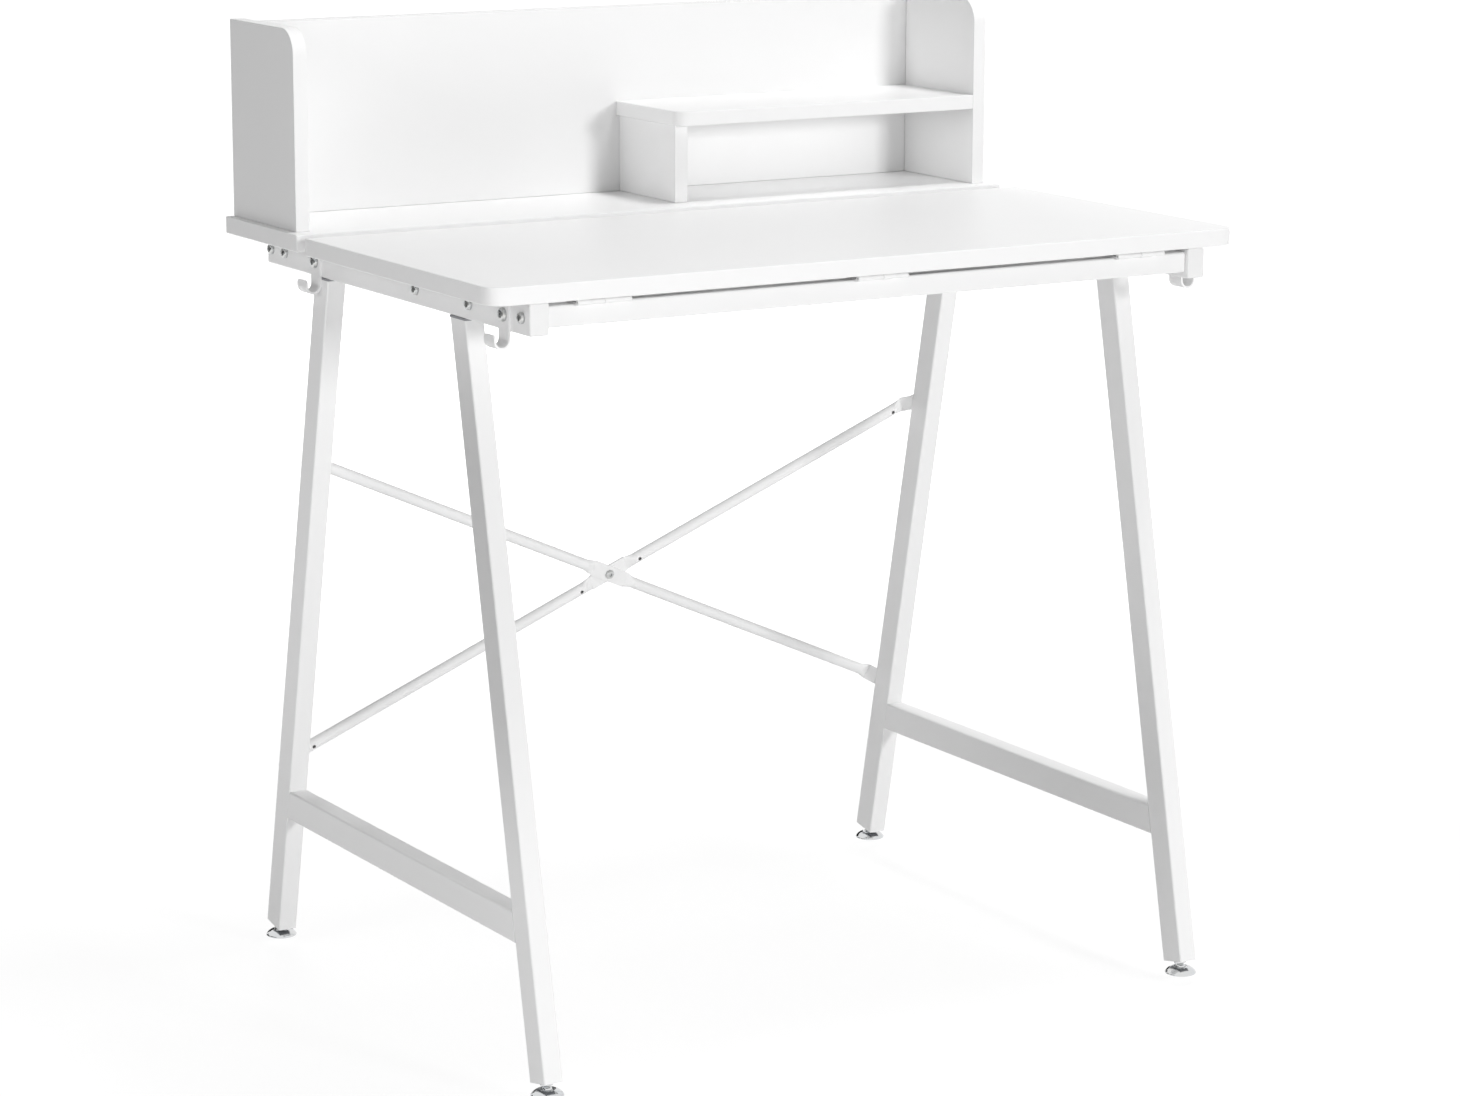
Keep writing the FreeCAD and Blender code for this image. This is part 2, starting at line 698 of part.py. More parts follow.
def brace_bar(rise, mid_low, vent_side):
    # Bar drawn along +X with its width on Y and +Z out to the rear, then turned into the brace plane.
    half_flat = brace_flat_thick / 2
    half_wide = brace_flat_width / 2
    round_start = brace_flat_half + brace_taper
    tab_start = brace_half - brace_tab_half
    flat_end = tab_start - brace_joggle
    round_end = flat_end - brace_taper
    flat_low = brace_offset - half_flat
    width = (-half_wide, half_wide)
    bar = box((-brace_flat_half, brace_flat_half), width, (mid_low, mid_low + brace_flat_thick))
    bores = []
    for way in (-1, 1):
        start = vector(way * round_start, 0, brace_offset)
        length = round_end - round_start
        bar = bar.fuse(rod(brace_tube_radius, start, along_x * way, length))
        bores.append(rod(brace_tube_radius - brace_tube_wall, start, along_x * way, length))
        for round_x, flat_x, flat_z in (
            (round_start, brace_flat_half, mid_low + half_flat),
            (round_end, flat_end, brace_offset),
        ):
            squeezed = brace_section(way * flat_x, flat_z, half_wide, half_flat)
            whole = brace_section(way * round_x, brace_offset, brace_tube_radius, brace_tube_radius)
            bar = bar.fuse(Part.makeLoft([squeezed, whole], True, True))
        bend = [
            vector(way * flat_end, -half_wide, flat_low),
            vector(way * flat_end, -half_wide, flat_low + brace_flat_thick),
            vector(way * tab_start, -half_wide, brace_flat_thick),
            vector(way * tab_start, -half_wide, 0),
        ]
        strip = Part.Face(Part.makePolygon(bend + bend[:1])).extrude(along_y * brace_flat_width)
        tab = box(sorted((way * tab_start, way * brace_half)), width, (0, brace_flat_thick))
        hole_mid = vector(way * brace_half, 0, 0)
        tip = rod(half_wide, hole_mid, along_z, brace_flat_thick)
        bar = bar.fuse(strip).fuse(tab).fuse(tip)
        bores.append(rod(brace_screw_radius + fit_gap, hole_mid, along_z, brace_flat_thick))
        for vent_x in (round_start + brace_vent_inset, round_end - brace_vent_inset):
            vent = vector(way * vent_x, 0, brace_offset)
            bores.append(rod(brace_vent_radius, vent, along_z * vent_side, 2 * brace_tube_radius))
    bores.append(rod(brace_screw_radius + fit_gap, vector(0, 0, 0), along_z, 2 * brace_offset))
    for bore in bores:
        bar = bar.cut(bore)
    tilt = math.atan2(rise * brace_rise, rail_mid_x)
    run = along_x * math.cos(tilt) + brace_up * math.sin(tilt)
    return placed(bar.removeSplitter(), brace_origin, run, brace_out)


def make_brace():
    save("brace_bar_falling", brace_bar(-1, brace_offset - brace_flat_thick, 1))
    save("brace_bar_rising", brace_bar(1, brace_offset, -1))
    head = (brace_head_radius, brace_head_thick)
    front_face = brace_point(0, 0, brace_offset - brace_flat_thick)
    length = 2 * brace_flat_thick + nut_thick
    screws = [cap_screw(*head, brace_screw_radius, length, front_face, brace_out)]
    for seat in brace_screw_seats():
        start = seat + brace_out * brace_flat_thick
        screws.append(cap_screw(*head, brace_screw_radius, brace_screw_length, start, brace_out * -1))
    save("brace_screws", *screws)


def brace_nut():
    rear_face = brace_point(0, 0, brace_offset + brace_flat_thick)
    nut = placed(hexagonal_prism(2 * nut_radius, nut_thick), rear_face, along_x, brace_out)
    return bored(nut, brace_screw_radius, rear_face, brace_out, nut_thick)


def make_hinges():
    pins = []
    top_screws = []
    rail_screws = []
    for name, x in hinge_places.items():
        save("hinge_" + name + "_upper_leaf", hinge_leaf(x, True))
        save("hinge_" + name + "_lower_leaf", hinge_leaf(x, False))
        pin_end = vector(x - hinge_length / 2, hinge_y, hinge_z)
        pins.append(rod(hinge_pin_radius, pin_end, along_x, hinge_length))
        for screw_x, screw_y in hinge_screw_spots(x):
            low = vector(screw_x, screw_y, under_z - hinge_leaf_thick)
            high = vector(screw_x, screw_y, front_rail_top + hinge_leaf_thick)
            radii = (hinge_head_radius, hinge_screw_radius)
            top_screws.append(flush_screw(*radii, hinge_screw_bite, low, along_z))
            rail_screws.append(flush_screw(*radii, hinge_rail_bite, high, along_z * -1))
    save("hinge_pins", *pins)
    save("hinge_top_screws", *top_screws)
    save("hinge_rail_screws", *rail_screws)


def make_hooks():
    screws = []
    inner = hook_bend_radius
    outer = inner + hook_thick
    top_z = under_z - hook_top_gap
    bend_z = rail_low_z - hook_bottom_drop + outer
    tip_z = rail_low_z - hook_tip_drop
    for name, side, y in hook_places():
        wide = (y - hook_width / 2, y + hook_width / 2)
        back = box(mirrored_span(side, rail_out, rail_out + hook_thick), wide, (bend_z, top_z))
        centre_x = rail_out + outer
        ring_start = vector(side * centre_x, wide[0], bend_z)
        ring = rod(outer, ring_start, along_y, hook_width).cut(rod(inner, ring_start, along_y, hook_width))
        lower_half = box(mirrored_span(side, rail_out, centre_x + outer), wide, (bend_z - outer, bend_z))
        ring = ring.common(lower_half)
        tip = box(mirrored_span(side, centre_x + inner, centre_x + outer), wide, (bend_z, tip_z))
        tip = tip.makeFillet(hook_tip_radius, edge_at(tip, along_x, z=tip_z))
        hook = back.fuse(ring).fuse(tip).removeSplitter()
        seat = vector(side * (rail_out + hook_thick), y, rail_mid_z)
        way = along_x * -side
        save("hook_" + name, bored(hook, hook_screw_radius, seat, way, hook_thick))
        head = (hook_head_radius, screw_head_thick)
        screws.append(cap_screw(*head, hook_screw_radius, hook_screw_length, seat, way))
    save("hook_screws", *screws)


def prop_through(side, y, inner_x):
    seat = vector(side * rail_out, y, rail_mid_z)
    head = (screw_head_radius, screw_head_thick)
    return cap_screw(*head, pivot_radius, rail_out - inner_x, seat, along_x * -side)


def nut_on_bolt(side, y, outer_x):
    start = vector(side * outer_x, y, rail_mid_z)
    way = along_x * -side
    nut = placed(hexagonal_prism(2 * nut_radius, nut_thick), start, along_y, way)
    return bored(nut, pivot_radius, start, way, nut_thick)


def make_tilt_support():
    bolts = []
    spacers = []
    nuts = [brace_nut()]
    clips = []
    cleats = []
    cleat_screws = []
    bar_y = prop_pivot_y + prop_length
    nut_x = prop_arm_in - prop_stop_gap
    for name, side in sides.items():
        x = mirrored_span(side, prop_arm_in, prop_arm_out)
        flat = box(x, (prop_pivot_y, bar_y), (rail_mid_z - prop_arm_half, rail_mid_z + prop_arm_half))
        eye = rod(prop_arm_half, vector(x[0], prop_pivot_y, rail_mid_z), along_x, prop_arm_thick)
        end = rod(prop_arm_half, vector(x[0], bar_y, rail_mid_z), along_x, prop_arm_thick)
        bore = rod(pivot_radius + fit_gap, vector(x[0], prop_pivot_y, rail_mid_z), along_x, prop_arm_thick)
        save("prop_arm_" + name, flat.fuse(eye).fuse(end).removeSplitter().cut(bore))

        pivot = vector(side * rail_in, prop_pivot_y, rail_mid_z)
        way = along_x * -side
        spacer_length = prop_spacer_length - prop_stop_gap
        spacer = rod(nut_radius, pivot, way, spacer_length)
        spacers.append(bored(spacer, pivot_radius, pivot, way, spacer_length))
        bolts.append(prop_through(side, prop_pivot_y, nut_x - nut_thick))
        nuts.append(nut_on_bolt(side, prop_pivot_y, nut_x))

        plate_in = rail_in - rest_clip_thick
        flange_top = rail_mid_z - prop_arm_half - rest_gap
        flange_low = flange_top - rest_clip_thick
        half = rest_clip_width / 2
        clip_y = (prop_rest_y - half, prop_rest_y + half)
        plate = box(mirrored_span(side, plate_in, rail_in), clip_y, (flange_low, rail_mid_z + half))
        flange_x = mirrored_span(side, rail_in - rest_clip_reach, rail_in)
        flange = box(flange_x, clip_y, (flange_low, flange_top))
        clip = plate.fuse(flange).removeSplitter()
        seat = vector(side * rail_in, prop_rest_y, rail_mid_z)
        clips.append(bored(clip, pivot_radius, seat, way, rest_clip_thick))
        bolts.append(prop_through(side, prop_rest_y, plate_in - nut_thick))
        nuts.append(nut_on_bolt(side, prop_rest_y, plate_in))

        mouth = cleat_screw_mouth(side)
        cleat_y = (mouth.y - cleat_depth / 2, mouth.y + cleat_depth / 2)
        cleat_x = (mouth.x - cleat_width / 2, mouth.x + cleat_width / 2)
        cleat = box(cleat_x, cleat_y, (under_z - cleat_thick, under_z))
        bite = cleat_thick + wood_screw_bite
        cleats.append(cleat.cut(flush_hole(wood_head_radius, wood_screw_radius, bite, mouth, along_z)))
        cleat_screws.append(flush_screw(wood_head_radius, wood_screw_radius, bite, mouth, along_z))

    bar_start = vector(-prop_arm_in, bar_y, rail_mid_z)
    bar = rod(prop_arm_half, bar_start, along_x, 2 * prop_arm_in)
    save("prop_crossbar", bar.cut(rod(prop_arm_half - prop_bar_wall, bar_start, along_x, 2 * prop_arm_in)))
    save("prop_bolts", *bolts)
    save("prop_spacers", *spacers)
    save("nuts", *nuts)
    save("prop_rest_clips", *clips)
    save("prop_cleats", *cleats)
    save("prop_cleat_screws", *cleat_screws)


os.makedirs("parts", exist_ok=True)
make_boards()
make_hutch()
make_side_rails()
make_cross_rails()
make_legs()
make_stretchers()
make_glides()
make_brace()
make_hinges()
make_hooks()
make_tilt_support()
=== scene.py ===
import bpy
import bmesh
import json
import math
from mathutils import Matrix, Vector

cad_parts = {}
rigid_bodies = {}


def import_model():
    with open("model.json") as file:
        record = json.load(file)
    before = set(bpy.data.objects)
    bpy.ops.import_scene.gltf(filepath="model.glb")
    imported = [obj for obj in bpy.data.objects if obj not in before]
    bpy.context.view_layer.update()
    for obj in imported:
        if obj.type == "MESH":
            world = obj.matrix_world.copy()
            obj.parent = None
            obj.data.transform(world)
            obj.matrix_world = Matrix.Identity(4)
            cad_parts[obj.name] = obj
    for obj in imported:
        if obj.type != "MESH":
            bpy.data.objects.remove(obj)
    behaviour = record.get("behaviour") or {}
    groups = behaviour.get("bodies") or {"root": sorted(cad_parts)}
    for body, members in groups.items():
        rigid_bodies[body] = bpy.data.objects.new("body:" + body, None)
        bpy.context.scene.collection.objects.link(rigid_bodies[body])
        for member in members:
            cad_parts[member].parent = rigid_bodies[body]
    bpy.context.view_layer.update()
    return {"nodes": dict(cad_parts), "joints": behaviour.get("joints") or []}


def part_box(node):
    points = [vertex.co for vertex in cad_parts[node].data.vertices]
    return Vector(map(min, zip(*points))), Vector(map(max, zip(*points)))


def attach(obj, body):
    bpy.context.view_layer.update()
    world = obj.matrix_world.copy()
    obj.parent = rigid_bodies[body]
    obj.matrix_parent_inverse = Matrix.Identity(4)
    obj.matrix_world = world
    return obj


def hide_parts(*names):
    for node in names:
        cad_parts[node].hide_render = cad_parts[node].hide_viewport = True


for leftover in list(bpy.data.objects):  # the cube, lamp and camera of an empty start-up file
    bpy.data.objects.remove(leftover)
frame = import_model()
cadNodes = frame["nodes"]
joints = {joint["name"]: joint for joint in frame["joints"]}
mm = 0.001
corners = [end + "_" + side for end in ("front", "rear") for side in ("left", "right")]
xAxis = Vector((1, 0, 0))
zAxis = Vector((0, 0, 1))
print("frame loaded with", len(cadNodes), "nodes")


# A colour in sRGB hex digits, brought to linear light by the sRGB curve.
def hexToLinear(text):
    shares = [int(text[k:k + 2], 16) / 255 for k in (0, 2, 4)]
    return [s / 12.92 if s <= 0.04045 else ((s + 0.055) / 1.055) ** 2.4 for s in shares] + [1.0]


def perMetre(sizeMm):
    return 1 / (sizeMm * mm)


# Adds one node. A setting that is no socket is a property of the node; links go from sockets to its inputs.
def addNode(tree, kind, settings=None, links=None):
    node = tree.nodes.new(kind)
    for name, value in (settings or {}).items():
        if isinstance(name, int) or name in node.inputs:
            node.inputs[name].default_value = value
        else:
            setattr(node, name, value)
    for name, socket in (links or {}).items():
        tree.links.new(socket, node.inputs[name])
    return node


def startMaterial(name, look):
    material = bpy.data.materials.new(name)
    material.use_nodes = True
    tree = material.node_tree
    shader = tree.nodes["Principled BSDF"]
    shader.inputs["Base Color"].default_value = hexToLinear(look["colour"])
    shader.inputs["Metallic"].default_value = look.get("metallic", 0.0)
    shader.inputs["Roughness"].default_value = look["roughness"]
    coords = addNode(tree, "ShaderNodeTexCoord")
    return material, tree, shader, coords.outputs


# Melamine-faced chipboard, pressed against a fine pearl plate, with edge bands glued on and trimmed round.
# It gives a flat even white, a soft broken sheen, and a hairline along each band.
melamine = {
    "colour": "F3F3F3", "cloudColour": "F0F0F0", "bandColour": "F4F4F4", "seamColour": "D2D2D2",
    "roughness": 0.34, "roughLow": 0.30, "roughHigh": 0.40,
    "cloudMm": 160,
    "pearlMm": 2.2,  # the real press plate has a grain of about 0.5 mm, drawn coarser so that it shows
    "pearlHeightMm": 0.02,
    "seamFrom": 0.90, "seamTo": 0.985,  # the joint lies where the rounded edge meets the face
}


def melamineBoard(faceAxis):
    look = melamine
    name = "melamineFacedChipboard_pressed_" + "xyz"[faceAxis]
    material, tree, shader, coords = startMaterial(name, look)
    cloud = addNode(tree, "ShaderNodeTexNoise", {"Scale": perMetre(look["cloudMm"]), "Detail": 3.0},
                    {"Vector": coords["Object"]})
    pearl = addNode(tree, "ShaderNodeTexNoise", {"Scale": perMetre(look["pearlMm"]), "Detail": 2.0},
                    {"Vector": coords["Object"]})
    face = addNode(tree, "ShaderNodeMix", {"data_type": "RGBA", 6: hexToLinear(look["colour"]),
                                           7: hexToLinear(look["cloudColour"])}, {0: cloud.outputs["Fac"]})
    along = addNode(tree, "ShaderNodeSeparateXYZ", links={0: coords["Normal"]})
    upright = addNode(tree, "ShaderNodeMath", {"operation": "ABSOLUTE"}, {0: along.outputs[faceAxis]})
    onFace = addNode(tree, "ShaderNodeMath", {"operation": "GREATER_THAN", 1: look["seamFrom"]},
                     {0: upright.outputs[0]})
    flatFace = addNode(tree, "ShaderNodeMath", {"operation": "GREATER_THAN", 1: look["seamTo"]},
                       {0: upright.outputs[0]})
    seam = addNode(tree, "ShaderNodeMath", {"operation": "SUBTRACT"},
                   {0: onFace.outputs[0], 1: flatFace.outputs[0]})
    banded = addNode(tree, "ShaderNodeMix", {"data_type": "RGBA", 6: hexToLinear(look["bandColour"])},
                     {0: onFace.outputs[0], 7: face.outputs[2]})
    seamed = addNode(tree, "ShaderNodeMix", {"data_type": "RGBA", 7: hexToLinear(look["seamColour"])},
                     {0: seam.outputs[0], 6: banded.outputs[2]})
    tree.links.new(seamed.outputs[2], shader.inputs["Base Color"])
    sheen = addNode(tree, "ShaderNodeMapRange", {"To Min": look["roughLow"], "To Max": look["roughHigh"]},
                    {"Value": pearl.outputs["Fac"]})
    tree.links.new(sheen.outputs[0], shader.inputs["Roughness"])
    bump = addNode(tree, "ShaderNodeBump", {"Strength": 1.0, "Distance": look["pearlHeightMm"] * mm},
                   {"Height": pearl.outputs["Fac"]})
    tree.links.new(bump.outputs[0], shader.inputs["Normal"])
    return material


# Epoxy powder sprayed on steel tube and baked. It gives a satin white skin with a slow orange-peel ripple
# and a faint fine grain.
powderCoat = {
    "colour": "F3F3F3", "cloudColour": "F0F0F0", "roughness": 0.40, "roughLow": 0.36, "roughHigh": 0.46,
    "cloudMm": 90,
    "peelMm": 3.0,  # real orange peel is about 1.5 mm across, drawn coarser so that it shows
    "peelHeightMm": 0.035,
    "grainMm": 1.8, "grainHeightMm": 0.008,  # powder grains are finer, drawn coarser too
}


def powderCoatedSteel():
    look = powderCoat
    material, tree, shader, coords = startMaterial("steelTube_powderCoated", look)
    cloud = addNode(tree, "ShaderNodeTexNoise", {"Scale": perMetre(look["cloudMm"]), "Detail": 3.0},
                    {"Vector": coords["Object"]})
    peel = addNode(tree, "ShaderNodeTexNoise", {"Scale": perMetre(look["peelMm"]), "Detail": 0.0},
                   {"Vector": coords["Object"]})
    grain = addNode(tree, "ShaderNodeTexNoise", {"Scale": perMetre(look["grainMm"]), "Detail": 1.0},
                    {"Vector": coords["Object"]})
    skin = addNode(tree, "ShaderNodeMix", {"data_type": "RGBA", 6: hexToLinear(look["colour"]),
                                           7: hexToLinear(look["cloudColour"])}, {0: cloud.outputs["Fac"]})
    tree.links.new(skin.outputs[2], shader.inputs["Base Color"])
    sheen = addNode(tree, "ShaderNodeMapRange", {"To Min": look["roughLow"], "To Max": look["roughHigh"]},
                    {"Value": grain.outputs["Fac"]})
    tree.links.new(sheen.outputs[0], shader.inputs["Roughness"])
    ripple = addNode(tree, "ShaderNodeBump", {"Strength": 1.0, "Distance": look["peelHeightMm"] * mm},
                     {"Height": peel.outputs["Fac"]})
    fine = addNode(tree, "ShaderNodeBump", {"Strength": 1.0, "Distance": look["grainHeightMm"] * mm},
                   {"Height": grain.outputs["Fac"], "Normal": ripple.outputs[0]})
    tree.links.new(fine.outputs[0], shader.inputs["Normal"])
    return material


# Bright zinc electroplated on turned and rolled steel, then passivated. It gives a cool silver with faint
# blue and straw patches, and very faint rings left by the tool on each head.
zincPlate = {
    "colour": "C2C4C6", "blueColour": "B9BEC3", "strawColour": "CAC8C2", "metallic": 1.0,
    "roughness": 0.27, "roughLow": 0.20, "roughHigh": 0.36,
    "patchMm": 5.0,
    "ringMm": 0.9,  # turning marks are about 0.2 mm apart, drawn coarser
    "ringHeightMm": 0.006,
}
# Chrome electroplated on polished steel. It gives a mirror with faint haze and very faint spun rings.
chromePlate = {
    "colour": "DCDEE0", "blueColour": "D5D9DE", "strawColour": "E0DFDC", "metallic": 1.0,
    "roughness": 0.07, "roughLow": 0.04, "roughHigh": 0.12,
    "patchMm": 9.0, "ringMm": 1.6, "ringHeightMm": 0.0015,  # polishing marks are finer, drawn coarser
}
# Zinc alloy cast in a die and left as it came. It gives a dull grey metal with a mottled skin.
castAlloy = {
    "colour": "A9AAAB", "blueColour": "9FA2A5", "strawColour": "B2B1AD", "metallic": 1.0,
    "roughness": 0.55, "roughLow": 0.48, "roughHigh": 0.65,
    "patchMm": 3.0,
}
waveRepeat = math.tau / 20  # the wave texture repeats after this length at scale 1


def bareMetal(name, look):
    material, tree, shader, coords = startMaterial(name, look)
    patch = addNode(tree, "ShaderNodeTexNoise", {"Scale": perMetre(look["patchMm"]), "Detail": 3.0},
                    {"Vector": coords["Object"]})
    tint = addNode(tree, "ShaderNodeMix", {"data_type": "RGBA", 6: hexToLinear(look["blueColour"]),
                                           7: hexToLinear(look["strawColour"])}, {0: patch.outputs["Fac"]})
    tree.links.new(tint.outputs[2], shader.inputs["Base Color"])
    haze = addNode(tree, "ShaderNodeMapRange", {"To Min": look["roughLow"], "To Max": look["roughHigh"]},
                   {"Value": patch.outputs["Fac"]})
    tree.links.new(haze.outputs[0], shader.inputs["Roughness"])
    if "ringMm" in look:
        turned = addNode(tree, "ShaderNodeAttribute", {"attribute_name": "turned"})
        rings = addNode(tree, "ShaderNodeTexWave", {"wave_type": "RINGS", "rings_direction": "Z",
                                                    "Scale": waveRepeat / look["ringMm"]},
                        {"Vector": turned.outputs["Vector"]})
        bump = addNode(tree, "ShaderNodeBump", {"Strength": 1.0, "Distance": look["ringHeightMm"] * mm},
                       {"Height": rings.outputs["Fac"]})
        tree.links.new(bump.outputs[0], shader.inputs["Normal"])
    return material


# Polypropylene moulded in a spark-eroded tool: a white, slightly waxy skin with a fine matt grain.
whitePolypropylene = {
    "colour": "EFEFEF", "cloudColour": "EBEBEB", "roughness": 0.46, "roughLow": 0.42, "roughHigh": 0.54,
    "cloudMm": 12, "grainMm": 1.1, "grainHeightMm": 0.02,  # spark grain is about 0.3 mm, drawn coarser
}
# Polyamide moulded with glass fibre: a mid grey with a dry, slightly clouded skin.
greyPolyamide = {
    "colour": "95969A", "cloudColour": "8B8C90", "roughness": 0.52, "roughLow": 0.46, "roughHigh": 0.62,
    "cloudMm": 6, "grainMm": 1.0, "grainHeightMm": 0.03,  # the fibre grain is finer, drawn coarser
}


def mouldedPlastic(name, look):
    material, tree, shader, coords = startMaterial(name, look)
    cloud = addNode(tree, "ShaderNodeTexNoise", {"Scale": perMetre(look["cloudMm"]), "Detail": 2.0},
                    {"Vector": coords["Object"]})
    grain = addNode(tree, "ShaderNodeTexNoise", {"Scale": perMetre(look["grainMm"]), "Detail": 2.0},
                    {"Vector": coords["Object"]})
    skin = addNode(tree, "ShaderNodeMix", {"data_type": "RGBA", 6: hexToLinear(look["colour"]),
                                           7: hexToLinear(look["cloudColour"])}, {0: cloud.outputs["Fac"]})
    tree.links.new(skin.outputs[2], shader.inputs["Base Color"])
    matt = addNode(tree, "ShaderNodeMapRange", {"To Min": look["roughLow"], "To Max": look["roughHigh"]},
                   {"Value": grain.outputs["Fac"]})
    tree.links.new(matt.outputs[0], shader.inputs["Roughness"])
    bump = addNode(tree, "ShaderNodeBump", {"Strength": 1.0, "Distance": look["grainHeightMm"] * mm},
                   {"Height": grain.outputs["Fac"]})
    tree.links.new(bump.outputs[0], shader.inputs["Normal"])
    return material


# Beech rod, rolled to size and left raw: a warm tan with short darker flecks along the grain.
beech = {
    "colour": "D6B98F", "fleckColour": "B58E62", "roughness": 0.62,
    "fleckMm": 1.4, "fleckLongMm": 9.0, "fleckHeightMm": 0.03,
}


def rolledBeech():
    look = beech
    material, tree, shader, coords = startMaterial("beech_rolledRod", look)
    across = perMetre(look["fleckMm"])
    stretch = addNode(tree, "ShaderNodeMapping", {"Scale": (perMetre(look["fleckLongMm"]), across, across)},
                      {"Vector": coords["Object"]})
    fleck = addNode(tree, "ShaderNodeTexNoise", {"Scale": 1.0, "Detail": 3.0}, {"Vector": stretch.outputs[0]})
    grain = addNode(tree, "ShaderNodeMix", {"data_type": "RGBA", 6: hexToLinear(look["colour"]),
                                            7: hexToLinear(look["fleckColour"])}, {0: fleck.outputs["Fac"]})
    tree.links.new(grain.outputs[2], shader.inputs["Base Color"])
    bump = addNode(tree, "ShaderNodeBump", {"Strength": 1.0, "Distance": look["fleckHeightMm"] * mm},
                   {"Height": fleck.outputs["Fac"]})
    tree.links.new(bump.outputs[0], shader.inputs["Normal"])
    return material


finishes = {
    "white_powder_coat": powderCoatedSteel(),
    "white_plastic": mouldedPlastic("polypropylene_moulded", whitePolypropylene),
    "grey_plastic": mouldedPlastic("polyamide_moulded", greyPolyamide),
    "zinc_plated_steel": bareMetal("steel_zincPlated", zincPlate),
    "cast_alloy": bareMetal("zincAlloy_dieCast", castAlloy),
    "chrome": bareMetal("steel_chromePlated", chromePlate),
    "beech": rolledBeech(),
}
boardFinishes = [melamineBoard(axis) for axis in range(3)]

for name, node in cadNodes.items():
    slot = node.material_slots[0].material.name
    if slot == "white_laminate":  # a board's broad faces look along its thinnest way
        low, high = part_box(name)
        extents = list(high - low)
        node.material_slots[0].material = boardFinishes[extents.index(min(extents))]
    else:
        node.material_slots[0].material = finishes[slot]
print("finishes on all nodes:", len(finishes) + len(boardFinishes), "materials")


# Cut and sheared steel has its edges dulled by the coating: a small round on each sharp edge.
softEdges = {"widthMm": 0.35, "endMm": 1.0, "angle": 40, "weldMm": 0.005, "segments": 2}
edgedNodes = ["hook_" + corner for corner in corners]
edgedNodes += ["prop_arm_left", "prop_arm_right", "prop_rest_clips", "prop_cleats"]
edgedNodes += ["stretcher_left", "stretcher_right"]
railEnds = ["front_rail", "rear_rail"]  # their ends are dressed more, which leaves a seam at the side rails
for name in edgedNodes + railEnds:
    weld = cadNodes[name].modifiers.new("weld", "WELD")
    weld.merge_threshold = softEdges["weldMm"] * mm
    soft = cadNodes[name].modifiers.new("softEdge", "BEVEL")
    soft.width = softEdges["endMm" if name in railEnds else "widthMm"] * mm
    soft.segments = softEdges["segments"]
    soft.limit_method = "ANGLE"
    soft.angle_limit = math.radians(softEdges["angle"])
    soft.harden_normals = True
print("edges softened on", len(edgedNodes + railEnds), "nodes")


# The separate solids of one CAD node, each as its list of points in millimetres.
def solidsOf(nodeName):
    mesh = cadNodes[nodeName].data
    keyOf = [tuple(round(c / mm, 3) for c in v.co) for v in mesh.vertices]
    parent = {key: key for key in keyOf}

    def root(key):
        while parent[key] != key:
            parent[key] = parent[parent[key]]
            key = parent[key]
        return key

    for face in mesh.polygons:
        first = root(keyOf[face.vertices[0]])
        for index in face.vertices[1:]:
            parent[root(keyOf[index])] = first
    groups = {}
    for key in parent:
        groups.setdefault(root(key), []).append(Vector(key))
    return sorted(groups.values(), key=lambda points: tuple(points[0]))


# Where a screw's axis starts, in millimetres, and how long the screw is, from its points and its direction.
def axisStart(points, way):
    across = way.orthogonal().normalized()
    start = Vector((0, 0, 0))
    for direction in (across, way.cross(across)):
        reach = [p.dot(direction) for p in points]
        start += direction * (min(reach) + max(reach)) / 2
    reach = [p.dot(way) for p in points]
    return start + way * min(reach), max(reach) - min(reach)


turnSteps = 48  # points round a turned piece, a multiple of 6 and of 4 for the hexagons and crosses


def ring(radius, height):
    points = []
    for k in range(turnSteps):
        angle = math.tau * k / turnSteps
        reach = radius(angle) if callable(radius) else radius
        level = height(angle) if callable(height) else height
        points.append(Vector((reach * math.cos(angle), reach * math.sin(angle), level)))
    return points


def hexagon(acrossFlats):
    side = math.tau / 6
    return lambda angle: acrossFlats / 2 / math.cos(angle % side - side / 2)


def crossOutline(arm, halfWidth):
    quarter = math.tau / 4
    leastSine = 1e-6  # keeps the division below possible along the arms

    def reach(angle):
        turn = (angle + quarter / 2) % quarter - quarter / 2
        return min(arm / math.cos(turn), halfWidth / max(abs(math.sin(turn)), leastSine))

    return reach


# A new piece: each placed copy is a list of rings, from the inside end to the outside end, closed at both.
class TurnedPiece:
    def __init__(self, name):
        self.name = name
        self.grid = bmesh.new()
        self.local = self.grid.verts.layers.float_vector.new("turned")

    def addCopy(self, rings, start, way, hollow=False):
        place = Matrix.Translation(start) @ way.to_track_quat("Z", "Y").to_matrix().to_4x4()
        loops = []
        for points in rings:
            loop = []
            for point in points:
                vert = self.grid.verts.new((place @ point) * mm)
                vert[self.local] = point
                loop.append(vert)
            loops.append(loop)
        if hollow:  # the last ring joins the first, through the bore
            loops.append(loops[0])
        else:
            self.grid.faces.new(list(reversed(loops[0])))
            self.grid.faces.new(loops[-1])
        for lower, upper in zip(loops, loops[1:]):
            for k in range(turnSteps):
                n = (k + 1) % turnSteps
                self.grid.faces.new((lower[k], lower[n], upper[n], upper[k]))

    def finish(self, nodeName, body, slot, sharpAngle=35):
        bmesh.ops.recalc_face_normals(self.grid, faces=self.grid.faces)
        mesh = bpy.data.meshes.new(self.name)
        self.grid.to_mesh(mesh)
        self.grid.free()
        mesh.shade_smooth()
        mesh.set_sharp_from_angle(angle=math.radians(sharpAngle))
        mesh.materials.append(finishes[slot])
        piece = bpy.data.objects.new(self.name, mesh)
        bpy.context.scene.collection.objects.link(piece)
        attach(piece, body)
        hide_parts(nodeName)


